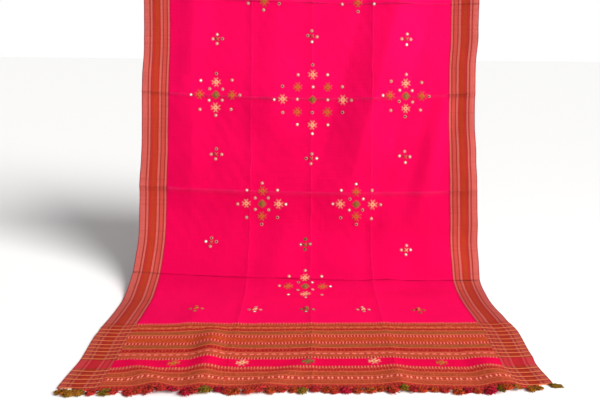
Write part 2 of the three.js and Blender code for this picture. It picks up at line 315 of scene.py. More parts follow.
class Finish:
    """One procedural material, built up in small steps on its own UV map."""

    def __init__(self, name, settings):
        self.material = bpy.data.materials.new(name)
        self.material.use_nodes = True
        self.tree = self.material.node_tree
        self.shader = self.tree.nodes["Principled BSDF"]
        for setting, value in settings.items():
            self.shader.inputs[setting].default_value = value
        self.uv = self.output("ShaderNodeUVMap", "UV")
        split = self.node("ShaderNodeSeparateXYZ", Vector=self.uv)
        self.u = Value(split.outputs["X"])
        self.v = Value(split.outputs["Y"])

    def node(self, kind, **inputs):
        made = self.tree.nodes.new(kind)
        for name, value in inputs.items():
            put(made.inputs[name], value)
        return made

    def output(self, kind, output, **inputs):
        return Value(self.node(kind, **inputs).outputs[output])

    def stretched(self, vector, scales):
        """A vector with its directions scaled apart, for streaks."""
        made = self.node("ShaderNodeVectorMath", Vector=vector)
        made.operation = "MULTIPLY"
        made.inputs[1].default_value = scales
        return Value(made.outputs["Vector"])

    def noise(self, across, along, detail=2.0):
        place = self.stretched(self.uv, (across, along, 1))
        return self.output("ShaderNodeTexNoise", "Fac", Vector=place, Scale=1.0, Detail=detail)

    def spots(self, across, along, start):
        """Separate spots where the noise goes past start, from 0 to 1."""
        return ((self.noise(across, along, detail=1) - start) * SPOT_STEEPNESS).clamped()

    def ramp(self, share, stops, interpolation="LINEAR"):
        made = self.node("ShaderNodeValToRGB", Fac=share)
        ramp = made.color_ramp
        ramp.interpolation = interpolation
        while len(ramp.elements) < len(stops):
            ramp.elements.new(1.0)
        for element, (place, shade) in zip(ramp.elements, stops):
            element.position = place
            element.color = shade
        return Value(made.outputs["Color"])

    def mix(self, share, a, b, blend="MIX"):
        made = self.tree.nodes.new("ShaderNodeMix")
        made.data_type = "RGBA"
        made.blend_type = blend
        put(made.inputs["Factor"], share)
        put(made.inputs[MIX_A], a)
        put(made.inputs[MIX_B], b)
        return Value(made.outputs[MIX_RESULT])

    def shaded(self, base, shade):
        return self.mix(1.0, base, shade, "MULTIPLY")

    def bump(self, height, depth, normal=None):
        made = self.node("ShaderNodeBump", Height=height, Strength=1.0, Distance=depth)
        if normal is not None:
            put(made.inputs["Normal"], normal)
        return Value(made.outputs["Normal"])

    def done(self, base, normal=None):
        put(self.shader.inputs["Base Color"], base)
        if normal is not None:
            put(self.shader.inputs["Normal"], normal)
        return self.material


# Colours of the dyed yarns.
MAGENTA = colour(263, 8, 98)
# Darker magenta, painted as shade on the field and also used for its random patches of deeper dye.
MAGENTA_SHADE_AND_DEEP_DYE = colour(230, 2, 80)
# Lighter magenta painted along the fold lines as a highlight.
CREASE_HIGHLIGHT_MAGENTA = colour(262, 62, 136)
GAP_MAGENTA = colour(244, 0, 80)
EDGE_MAGENTA = colour(190, 16, 62)
SALMON = colour(206, 96, 88)
LIGHT_LINE = colour(208, 104, 94)
CORAL = colour(208, 78, 70)
RUST = colour(186, 62, 36)
DARK_RED = colour(160, 30, 32)
DARK_LINE = colour(164, 54, 48)
BROWN_RED = colour(150, 38, 26)
RED = colour(192, 48, 44)
CORAL_RED = colour(204, 62, 54)
ORANGE_LINE = colour(226, 112, 78)
OCHRE_RUST = colour(194, 86, 52)
TAN = colour(232, 134, 88)
OLIVE_BROWN = colour(168, 88, 50)
RUST_BROWN = colour(184, 80, 50)
ORANGE_RUST = colour(202, 78, 36)
TICK = colour(254, 140, 120)
CREAM_PINK = colour(258, 158, 134)
CREAM = colour(262, 190, 146)
OCHRE = colour(222, 110, 20)
OLIVE = colour(132, 116, 36)
PLUM = colour(136, 44, 62)

# Threads and the ribs of the end panels: waves for each metre, and depths of their bump.
THREAD_WAVES = 2 * math.pi / 0.0009
RIB_WAVES = 2 * math.pi / 0.0017
FINE_WEAVE_DEPTH = 0.00016
COARSE_WEAVE_DEPTH = 0.0002
RIB_DEPTH = 0.00012
SLUB_SHARE = 1.6


def cloth_settings(tint, roughness=0.85):
    return {
        "Roughness": roughness,
        "Sheen Weight": 0.05,
        "Sheen Roughness": 0.45,
        "Sheen Tint": tint,
        "Specular IOR Level": 0.03,
    }


def weave_bump(finish, depth):
    """Plain weave: rounded threads each way, with thick and thin yarns and slubs."""
    threads = (finish.u * THREAD_WAVES).sine() * (finish.v * THREAD_WAVES).sine()
    slubs = finish.noise(1100, 28) + finish.noise(28, 1100)
    return finish.bump(threads + slubs * SLUB_SHARE, depth)


# The pressed middle of a fold line: its half width, its depth where a line is FULL_CREASE high,
# how much of it a lengthwise line keeps, and how far such a line wanders.
CREASE_PRESS = 0.005
CREASE_DEPTH = 0.0062
FULL_CREASE = 0.003
LONG_PRESS = 0.3
CREASE_WANDER = 0.009


def pressed_creases(finish):
    """Height of the sharp middle of every fold line, from 0 to 1, uneven along its run."""
    square = finish.u * finish.u
    wandering = finish.u + (finish.noise(4, 22) - 0.5) * CREASE_WANDER
    lines = []
    for at, tilt, bow, height, below in CROSS_CREASES:
        line = finish.u.times_plus(tilt, at) + square * bow
        lines.append((finish.v - line, height, below))
    for at, height in LONG_CREASES:
        lines.append((wandering - at, height * LONG_PRESS, CREASE_PRESS))
    parts = []
    for offset, height, below in lines:
        share = (offset / CREASE_PRESS).larger(offset / -below)
        parts.append((1.0 - share).clamped() ** 2 * (height / FULL_CREASE))
    return sum(parts) * ((finish.noise(13, 13) - 0.22) * 2.0).clamped()


def yarn_streaks(finish, base, amount):
    """Uneven dye along the yarns, both ways, and soft patches of wear."""
    streaks = finish.noise(420, 9) + finish.noise(9, 420)
    tone = streaks * 0.5 + finish.noise(7, 7, detail=3) * 0.5
    return finish.shaded(base, tone.times_plus(amount, 1 - amount * 0.5))


# Painted shade on the field, by v as a share of the cloth's length: darkest on the sweep and the
# lower hanging part, lighter higher up, and lightest on the floor.
PAINTED_SHADE_ALONG = [
    (0.0, 0.0), (0.20, 0.05), (0.25, 0.9), (0.355, 0.95), (0.385, 0.8), (0.48, 0.75), (0.515, 0.5),
]
# How much darker the painted shade is to the left, for each metre, and how patchy the dye is.
PAINTED_SHADE_LEFTWARDS = 0.4
DYE_PATCHES = 0.9
# How strongly the fold lines are painted with a lighter highlight, and how wide and dark the field's rim is
# beside the borders.
CREASE_HIGHLIGHT_STRENGTH = 0.4
RIM_WIDTH = 0.0055
RIM_STRENGTH = 0.8


def field_finish():
    finish = Finish("field_magenta_weave", cloth_settings(colour(255, 40, 120)))
    stops = [(place, (share, share, share, 1)) for place, share in PAINTED_SHADE_ALONG]
    # depth holds painted shade along the cloth: darker on the sweep and the lower hanging part.
    depth = finish.ramp(finish.v / CLOTH_LENGTH, stops)
    patches = (finish.noise(5, 5, detail=4) - 0.5) * DYE_PATCHES
    # Painted shade along the cloth and to the left, with random patches of deeper dye.
    painted_shade_and_patches = (depth + (patches + finish.u * -PAINTED_SHADE_LEFTWARDS)).clamped()
    creases = pressed_creases(finish)
    rim = (1.0 - (HALF_FIELD - abs(finish.u)) / RIM_WIDTH).clamped()
    base = finish.mix(painted_shade_and_patches, MAGENTA, MAGENTA_SHADE_AND_DEEP_DYE)
    # Painted highlight along the fold lines.
    base = finish.mix((creases * CREASE_HIGHLIGHT_STRENGTH).clamped(), base, CREASE_HIGHLIGHT_MAGENTA)
    base = finish.mix(rim * RIM_STRENGTH, base, EDGE_MAGENTA)
    normal = finish.bump(creases, CREASE_DEPTH, weave_bump(finish, FINE_WEAVE_DEPTH))
    return finish.done(yarn_streaks(finish, base, 0.3), normal)


# Border stripes from the selvedge inwards: where each starts, in millimetres.
BORDER_STRIPES = [
    (0.0, PLUM), (2.0, SALMON), (16.0, DARK_LINE), (19.7, LIGHT_LINE), (24.5, DARK_LINE), (27.5, RED),
    (33.0, RUST), (43.4, RED), (48.0, LIGHT_LINE), (53.6, DARK_LINE), (56.7, CORAL), (65.3, DARK_LINE),
    (68.8, LIGHT_LINE), (73.4, EDGE_MAGENTA),
]
STRIPE_BLEND = 0.7
STRIPE_DRIFT = 1.2
BAR_STRENGTH = 0.28


def banded(finish, along, bands, depth, blend):
    """Colour bands that start at the given millimetres, each blending a little into the next."""
    stops = [(0.0, bands[0][1])]
    for (_, before), (start, after) in zip(bands, bands[1:]):
        stops += [((start - blend) / depth, before), ((start + blend) / depth, after)]
    return finish.ramp((along / depth).clamped(), stops)


def border_colour(finish):
    along = (HALF_WIDTH - abs(finish.u)) * 1000 + (finish.noise(2, 14) - 0.5) * STRIPE_DRIFT
    stripes = banded(finish, along, BORDER_STRIPES, BORDER_WIDTH * 1000, STRIPE_BLEND)
    return finish.mix(finish.spots(3, 170, 0.57) * BAR_STRENGTH, stripes, DARK_LINE)


def border_finish():
    finish = Finish("border_striped_weave", cloth_settings(colour(255, 190, 170)))
    weave = weave_bump(finish, COARSE_WEAVE_DEPTH)
    normal = finish.bump(pressed_creases(finish), CREASE_DEPTH, weave)
    return finish.done(yarn_streaks(finish, border_colour(finish), 0.45), normal)


# Bands of the end panel from the fringe inwards: where each starts, in millimetres.
LOWER_BANDS = [
    (0, CORAL_RED), (9.5, ORANGE_LINE), (12, RUST_BROWN), (26, ORANGE_LINE), (28.5, RED), (40, ORANGE_LINE),
    (43, RUST_BROWN), (57.5, ORANGE_LINE), (60, CORAL_RED), (73, CORAL), (81, GAP_MAGENTA), (115, CORAL),
    (122.5, OCHRE_RUST), (132, CORAL), (142.5, ORANGE_LINE), (146, RED),
]
UPPER_BANDS = [
    (150, RED), (164, ORANGE_LINE), (167, OLIVE_BROWN), (182, CORAL), (196, ORANGE_RUST), (215, CORAL),
    (229, ORANGE_LINE), (232, OLIVE_BROWN), (248, ORANGE_LINE), (251, RED), (261, OCHRE_RUST), (271, RED),
    (275, OCHRE_RUST), (286, CORAL), (289.5, MAGENTA),
]
BAND_SPLIT = 155
BAND_BLEND = 0.9
GAP_FROM = 81
GAP_TO = 115
# Rows of woven dots and dashes, in millimetres: middle, height, pitch and width. Then the shift
# along the row, as a share of the pitch.
PANEL_ROWS = [
    (4.5, 5.0, 8.0, 4.0, 0.0, DARK_RED),
    (20.0, 2.4, 40.0, 99.0, 0.0, CORAL),
    (34.2, 8.5, 19.5, 4.8, 0.10, CREAM_PINK),
    (34.2, 8.5, 19.5, 4.8, 0.48, CREAM_PINK),
    (34.2, 5.0, 19.5, 2.6, 0.79, SALMON),
    (66.5, 6.5, 6.6, 3.6, 0.3, DARK_RED),
    (77.8, 10.0, 6.6, 2.5, 0.0, TICK),
    (79.8, 7.0, 6.6, 2.4, 0.5, RED),
    (118.6, 10.0, 6.6, 2.5, 0.4, TICK),
    (119.6, 7.5, 6.6, 2.6, 0.9, DARK_RED),
    (137.4, 5.6, 15.5, 10.5, 0.2, TICK),
    (155.0, 8.0, 7.8, 4.4, 0.0, DARK_RED),
    (189.0, 10.0, 7.4, 2.6, 0.1, TICK),
    (189.0, 9.0, 7.4, 2.6, 0.6, DARK_RED),
    (222.0, 10.0, 7.4, 2.6, 0.35, TICK),
    (222.0, 9.0, 7.4, 2.6, 0.85, DARK_RED),
    (256.0, 6.5, 6.6, 3.4, 0.0, DARK_RED),
    (266.0, 5.4, 15.5, 10.5, 0.0, ORANGE_LINE),
    (289.5, 10.0, 6.6, 2.5, 0.2, TICK),
    (288.5, 7.5, 6.6, 2.6, 0.7, DARK_RED),
]
DOT_STRENGTH = 0.9
# A dot is a little squarer than an ellipse, and soft at its edge.
DOT_SQUARENESS = 2.5
DOT_HEART = 1.6
DOT_FALL = 1.2
DOT_WOBBLE = 4.0


def panel_rows(finish, base, along):
    """Adds each row of dots or dashes over the bands."""
    across = finish.u * 1000 + (finish.noise(60, 60) - 0.5) * DOT_WOBBLE
    for middle, height, pitch, width, shift, shade in PANEL_ROWS:
        part = (across / pitch + shift).fraction() - 0.5
        side = part * pitch / (width / 2)
        rise = (along - middle) / (height / 2)
        reach = abs(side) ** DOT_SQUARENESS + abs(rise) ** DOT_SQUARENESS
        mask = (DOT_HEART - reach * DOT_FALL).clamped()
        base = finish.mix(mask * DOT_STRENGTH, base, shade)
    return base


def flecks(finish, base):
    """Short upright flecks of lighter and darker weft all over the bands."""
    light = finish.spots(330, 95, 0.52) * 0.66
    dark = finish.spots(110, 330, 0.56) * 0.55
    return finish.mix(dark, finish.mix(light, base, ORANGE_LINE), DARK_RED)


# Weft lines that cross the side borders beside the panel, in millimetres from the fringe.
CROSS_LINES = (8, 24, 40, 56, 72, 125, 142, 158, 174, 190, 209, 229, 248, 265, 283)
CROSS_LINE_HEIGHT = 3.6
CROSS_LINE_BEND = 4.0
# How much of the panel's own weft shows there, how dark the line's shade is, and soft edges.
WEFT_SHARE = 0.32
SHADE_STRENGTH = 0.45
LINE_SOFTNESS = 0.5
SHADE_SOFTNESS = 0.4
SHADE_GAP = 0.6


def cross_weft(finish, base, along, in_gap):
    """The panel's weft over the border stripes: a redder ground with tan lines that sag a little."""
    ground = finish.mix(WEFT_SHARE, base, BROWN_RED)
    ground = finish.mix(in_gap * WEFT_SHARE, ground, GAP_MAGENTA)
    aside = (abs(finish.u) - (HALF_WIDTH - BORDER_WIDTH / 2)) / (BORDER_WIDTH / 2)
    place = along + (1.0 - aside ** 2) * CROSS_LINE_BEND
    light = 0.0
    dark = 0.0
    for line in CROSS_LINES:
        offset = place - line
        part = (CROSS_LINE_HEIGHT / 2 + LINE_SOFTNESS - abs(offset)).clamped()
        below = abs(offset + (CROSS_LINE_HEIGHT + SHADE_GAP))
        under = (CROSS_LINE_HEIGHT / 2 + SHADE_SOFTNESS - below).clamped()
        light = part.larger(light)
        dark = under.larger(dark)
    ground = finish.mix(dark * SHADE_STRENGTH, ground, DARK_RED)
    uneven_dye = (finish.noise(60, 30) * 0.6 + 0.6).clamped()
    return finish.mix(light * uneven_dye, ground, TAN)


PANEL_SHIFT = 4.0
PANEL_DRIFT = 5.0
# Painted light: the end panels' colours are made brighter, as if more light fell on the panel lying on the
# floor.
PANEL_PAINTED_LIGHT = (1.12, 1.12, 1.04, 1)


def end_panel_finish():
    finish = Finish("end_panel_banded_weave", cloth_settings(colour(255, 120, 110)))
    from_end = finish.v.smaller(CLOTH_LENGTH - finish.v)
    along = from_end * 1000 + PANEL_SHIFT + (finish.noise(15, 4) - 0.5) * PANEL_DRIFT
    lower = banded(finish, along, LOWER_BANDS, BAND_SPLIT, BAND_BLEND)
    depth = END_PANEL_DEPTH * 1000 + PANEL_SHIFT - BAND_SPLIT
    upper_bands = [(start - BAND_SPLIT, shade) for start, shade in UPPER_BANDS]
    upper = banded(finish, along - BAND_SPLIT, upper_bands, depth, BAND_BLEND)
    bands = finish.mix(along > BAND_SPLIT, lower, upper)
    in_gap = (along > GAP_FROM) * (along < GAP_TO)
    speckled = finish.mix(in_gap, flecks(finish, bands), bands)
    middle = panel_rows(finish, speckled, along)
    sides = cross_weft(finish, border_colour(finish), along, in_gap)
    # The panel's colours, brightened by painted light.
    base = finish.shaded(finish.mix(abs(finish.u) > HALF_FIELD, middle, sides), PANEL_PAINTED_LIGHT)
    ribs = (finish.v * RIB_WAVES).sine()
    normal = finish.bump(ribs, RIB_DEPTH, weave_bump(finish, COARSE_WEAVE_DEPTH))
    normal = finish.bump(pressed_creases(finish), CREASE_DEPTH, normal)
    return finish.done(yarn_streaks(finish, base, 0.4), normal)


WHITE = (1, 1, 1, 1)
THREAD_SHADE = (0.82, 0.80, 0.78, 1)
# Painted shade of the fringe's low and hidden yarns.
FRINGE_PAINTED_SHADE = (0.35, 0.30, 0.30, 1)


def thread_finish(name, middle, tip):
    """Stitched thread that is dyed from one colour in a motif's middle to another at its tips."""
    finish = Finish(name, {"Roughness": 0.6, "Sheen Weight": 0.1, "Specular IOR Level": 0.2})
    base = finish.ramp(finish.u, [(0.0, middle), (0.42, middle), (0.95, tip)])
    place = finish.output("ShaderNodeTexCoord", "Object")
    grain = finish.output("ShaderNodeTexNoise", "Fac", Vector=place, Scale=900.0, Detail=1.0)
    shade = finish.ramp(grain, [(0.3, THREAD_SHADE), (0.7, WHITE)])
    return finish.done(finish.shaded(base, shade), finish.bump(grain, 0.0002))


# Painted reflections of the mirrors: white, pink and dark tones that stand in for what they reflect, by the
# first UV value of each.
MIRROR_PAINTED_REFLECTIONS = [
    (0.0, colour(110, 20, 38)), (0.28, colour(204, 150, 140)), (0.42, colour(248, 168, 172)),
    (0.68, colour(262, 228, 232)), (0.86, colour(290, 282, 284)),
]


def mirror_finish():
    # The base colour is each mirror's painted reflection.
    finish = Finish("mirror_painted_reflections", {"Roughness": 0.16, "Metallic": 0.15})
    return finish.done(finish.ramp(finish.u, MIRROR_PAINTED_REFLECTIONS, "CONSTANT"))


# Yarn colours of the fringe, by the first UV value of each strand.
FRINGE_TONES = [
    (0.0, colour(168, 126, 34)), (0.12, colour(200, 120, 44)), (0.22, colour(222, 86, 44)),
    (0.46, colour(220, 62, 54)), (0.70, colour(214, 26, 66)), (0.84, colour(140, 28, 32)), (0.92, OLIVE),
]


def fringe_finish():
    finish = Finish("fringe_soft_yarn", cloth_settings(colour(255, 210, 170), 0.9))
    tone = finish.ramp(finish.u, FRINGE_TONES, "CONSTANT")
    # Painted shade: darker where the second UV value is low.
    return finish.done(finish.shaded(tone, finish.ramp(finish.v, [(0.0, FRINGE_PAINTED_SHADE), (0.85, WHITE)])))


WOOD_TONES = [(0.3, colour(120, 78, 44)), (0.5, colour(176, 126, 78)), (0.7, colour(204, 158, 104))]
WOOD_STREAKS = (3, 60, 60)


def rail_finish():
    finish = Finish("rail_oiled_wood", {"Roughness": 0.45})
    place = finish.stretched(finish.output("ShaderNodeTexCoord", "Object"), WOOD_STREAKS)
    grain = finish.output(
        "ShaderNodeTexNoise", "Fac", Vector=place, Scale=4.0, Detail=6.0, Roughness=0.6, Distortion=0.6
    )
    return finish.done(finish.ramp(grain, WOOD_TONES), finish.bump(grain, 0.0004))


def in_scene(name, data):
    made = bpy.data.objects.new(name, data)
    bpy.context.scene.collection.objects.link(made)
    return made


def finished(bm, name):
    mesh = bpy.data.meshes.new(name)
    bm.to_mesh(mesh)
    bm.free()
    return mesh


def show(bm, name, material, nodes=(), laid=True):
    """Puts a modelled shape in the scene as a piece of the part, laid on the cloth or as it is."""
    mesh = finished(bm, name)
    if laid:
        lay_on_cloth(mesh)
    mesh.materials.append(material)
    for polygon in mesh.polygons:
        polygon.use_smooth = True
    piece = in_scene(name, mesh)
    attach(piece, "root")
    if nodes:
        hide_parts(*nodes)
    return piece


def woven_piece(name, u_low, u_high, v_low, v_high, material, slot, nodes):
    """One woven piece: a fine grid laid on the cloth's form, with its own thickness."""
    width = u_high - u_low
    length = v_high - v_low
    bm = bmesh.new()
    bmesh.ops.create_grid(
        bm, x_segments=max(2, round(width / CELL)), y_segments=round(length / CELL), size=0.5
    )
    middle = Vector(((u_low + u_high) / 2, (v_low + v_high) / 2, CLOTH_THICKNESS))
    bmesh.ops.scale(bm, vec=(width, length, 1), verts=bm.verts)
    bmesh.ops.translate(bm, vec=middle, verts=bm.verts)
    uv = bm.loops.layers.uv.new("cloth")
    for face in bm.faces:
        for loop in face.loops:
            loop[uv].uv = loop.vert.co.xy
    for edge in bm.edges:
        if edge.is_boundary:
            edge.smooth = False
    piece = show(bm, name, material, nodes)
    wall = piece.modifiers.new("thickness", "SOLIDIFY")
    wall.thickness = CLOTH_THICKNESS
    wall.offset = -1


def stretch_nodes(prefix):
    return [f"{prefix}_{stretch}" for stretch in ("on_floor", "sweep", "hanging", "over_rail", "back")]


def make_cloth():
    field = (field_finish(), "field_cloth")
    border = (border_finish(), "border_cloth")
    panel = (end_panel_finish(), "end_panel_cloth")
    low = END_PANEL_DEPTH
    high = CLOTH_LENGTH - END_PANEL_DEPTH
    for name, u_low, u_high, v_low, v_high, cloth, nodes in (
        ("field", -HALF_FIELD, HALF_FIELD, low, high, field, stretch_nodes("field")),
        ("left_border", -HALF_WIDTH, -HALF_FIELD, low, high, border, stretch_nodes("left_border")),
        ("right_border", HALF_FIELD, HALF_WIDTH, low, high, border, stretch_nodes("right_border")),
        ("front_end_panel", -HALF_WIDTH, HALF_WIDTH, 0, low, panel, ["end_panel_front"]),
        ("back_end_panel", -HALF_WIDTH, HALF_WIDTH, high, CLOTH_LENGTH, panel, ["end_panel_back"]),
    ):
        woven_piece(name, u_low, u_high, v_low, v_high, *cloth, nodes)


def satin(bm, x, y, angle, length, width, height=0.0009):
    """One raised satin stitch, a slim lozenge lying flat."""
    matrix = (
        Matrix.Translation((x, y, 0))
        @ Matrix.Rotation(angle, 4, "Z")
        @ Matrix.Diagonal((length / 2, width / 2, height, 1))
    )
    bmesh.ops.create_icosphere(bm, subdivisions=1, radius=1, matrix=matrix)


def stitch_between(bm, start, end, stretch, width):
    """A satin stitch along the way between two points, and a little past them."""
    step = end - start
    satin(bm, *((start + end) / 2), math.atan2(step.y, step.x), step.length * stretch, width)


STAR_REACH = 0.0152
STAR_STEM = 0.0085
# Stitches at each side of a star's arm: how far along it, how far aside, slant, length and width.
STAR_STITCHES = [
    (STAR_STEM / 2 + 0.0006, 0.0012, 0.0, STAR_STEM, 0.0025),
    (0.0098, 0.0056, 0.9, 0.0056, 0.0013),
    (0.0108, 0.0017, 0.16, 0.0050, 0.0013),
]


def star_shape():
    """A star of four forked arms on a filled middle, all in satin stitch."""
    bm = bmesh.new()
    for quarter in range(4):
        turn = quarter * math.pi / 2
        arm = Vector((math.cos(turn), math.sin(turn)))
        side = Vector((-arm.y, arm.x))
        for spread in (-1, 1):
            for along, aside, slant, length, width in STAR_STITCHES:
                place = arm * along + side * spread * aside
                satin(bm, *place, turn + spread * slant, length, width)
            root = arm * (STAR_STEM * 0.55) + side * spread * 0.0006
            tip = arm * STAR_REACH + side * spread * 0.0062
            stitch_between(bm, root, tip, 1.12, 0.0020)
        ray = (arm + side).normalized()
        satin(bm, *(ray * 0.0038), turn + math.pi / 4, 0.0076, 0.0034)
    return finished(bm, "star")


def diamond_shape(reach):
    """A rounded lozenge filled with level satin stitches."""
    bm = bmesh.new()
    rows = 9
    for row in range(rows):
        level = (row + 0.5) / rows * 2 - 1
        width = 2 * reach * (1 - abs(level) ** 1.5)
        satin(bm, 0, level * reach, 0, width + 0.006, 3.0 * reach / rows)
    return finished(bm, "diamond")


def diamond_outline(reach):
    """The outline of a lozenge in slanting stitches, two to a side so that it rounds out."""
    bm = bmesh.new()
    corners = []
    for corner in range(8):
        turn = corner * math.pi / 4
        radius = reach if corner % 2 == 0 else reach * 0.80
        corners.append(Vector((math.cos(turn), math.sin(turn))) * radius)
    for start, end in zip(corners, corners[1:] + corners[:1]):
        stitch_between(bm, start, end, 1.3, 0.0021)
    return finished(bm, "diamond_outline")


def cross_shape(reach):
    """A small cross of two stitches at a slant, with a knot in its middle."""
    bm = bmesh.new()
    for turn in (math.pi / 4, -math.pi / 4):
        satin(bm, 0, 0, turn, 2 * reach, 0.0018)
    satin(bm, 0, 0, 0, 0.003, 0.003, 0.0014)
    return finished(bm, "cross")


MIRROR_RADIUS = 0.0027
MIRROR_DEPTH = 0.0006
MIRROR_TAPER = 0.92
ROUND_SIDES = 12


def mirror_shape():
    bm = bmesh.new()
    bmesh.ops.create_cone(
        bm, cap_ends=True, segments=ROUND_SIDES, radius1=MIRROR_RADIUS,
        radius2=MIRROR_RADIUS * MIRROR_TAPER, depth=MIRROR_DEPTH,
    )
    return finished(bm, "mirror")


def round_of_stitches(name, inner, outer, height, scallop):
    """A raised round with a three-sided section, its outer edge scalloped like buttonhole stitch."""
    bm = bmesh.new()
    loops = []
    for radius, lift in ((inner, 0.0), ((inner + outer) / 2, height), (outer, 0.0)):
        place = Matrix.Translation((0, 0, lift))
        made = bmesh.ops.create_circle(bm, segments=ROUND_SIDES, radius=radius, matrix=place)
        loops.append(made["verts"])
    for vert in loops[2][::2]:
        vert.co *= scallop
    rings = [list({edge for vert in loop for edge in vert.link_edges}) for loop in loops]
    for first, second in ((0, 1), (1, 2), (2, 0)):
        bmesh.ops.bridge_loops(bm, edges=rings[first] + rings[second])
    bmesh.ops.recalc_face_normals(bm, faces=bm.faces)
    return finished(bm, name)


class Scatter:
    """Many copies of small flat shapes, joined into one."""

    def __init__(self):
        self.bm = bmesh.new()
        self.uv = self.bm.loops.layers.uv.new("cloth")

    def add(self, shape, u, v, lift, turn, size, tilt=(0.0, 0.0), tone=None):
        """Adds a copy. Its first UV value is the tone, which picks a mirror's painted reflection, or how
        near the star's reach each corner is.
        """
        copy = shape.copy()
        matrix = (
            Matrix.Translation((u, v, CLOTH_THICKNESS + lift))
            @ Euler((tilt[0], tilt[1], turn)).to_matrix().to_4x4()
            @ Matrix.Scale(size, 4)
        )
        copy.transform(matrix)
        first = len(self.bm.faces)
        self.bm.from_mesh(copy)
        bpy.data.meshes.remove(copy)
        self.bm.faces.ensure_lookup_table()
        for index in range(first, len(self.bm.faces)):
            for loop in self.bm.faces[index].loops:
                share = math.hypot(loop.vert.co.x - u, loop.vert.co.y - v) / STAR_REACH
                loop[self.uv].uv = (min(1.0, share) if tone is None else tone, 0.5)


def uneven(amount):
    return random.uniform(-amount, amount)


# Motifs of the front half, by the middle of each on the cloth; the back half mirrors them.
GAP_STARS = [(-0.277, "ochre"), (-0.137, "cream"), (0.0, "olive"), (0.137, "cream"), (0.276, "ochre")]
GAP_V = 0.0965
SMALL_MOTIFS = [
    (-0.277, 0.376, "ochre"), (-0.131, 0.371, "cream"), (-0.003, 0.370, "olive"), (0.137, 0.368, "cream"),
    (0.275, 0.362, "ochre"), (-0.272, 0.648, "coral"), (-0.008, 0.643, "olive"), (0.276, 0.631, "cream"),
    (-0.264, 0.899, "coral"), (0.007, 0.889, "coral"), (0.274, 0.896, "coral"),
]
MEDALLIONS = [(-0.007, 0.506, "A"), (-0.131, 0.759, "B"), (0.136, 0.7605, "B")]
MIDDLE_MEDALLIONS = [(-0.266, 1.066, "A"), (0.276, 1.067, "A")]
LARGE_MEDALLION = (0.0097, 1.0545)
MIDDLE_V = 1.0605
# Which thread goes round the mirrors of a small motif.
RING_THREADS = {"cream": "rose", "coral": "rose", "olive": "olive", "ochre": "ochre"}
# Each thread's colour in a motif's middle and at its tips.
THREADS = {
    "cream": (CREAM, colour(240, 112, 104)),
    "ochre": (OCHRE, colour(216, 64, 44)),
    "olive": (OLIVE, colour(150, 84, 44)),
    "coral": (colour(196, 92, 66), colour(206, 60, 66)),
    "rose": (colour(252, 156, 146), colour(252, 156, 146)),
    "brown": (colour(142, 44, 48), colour(142, 44, 48)),
}
# How far out the mirrors of a small motif lie, how dark the painted reflection of a dull mirror
# stays, and the steps between the stars of the large medallion, whose outermost mirrors lie further out
# again.
SMALL_REACH = 0.0142
DULL_REFLECTIONS = 0.55
LARGE_STEP_U = 0.0428
LARGE_STEP_V = 0.0354
OUTER_U = 2.55
OUTER_V = 2.72


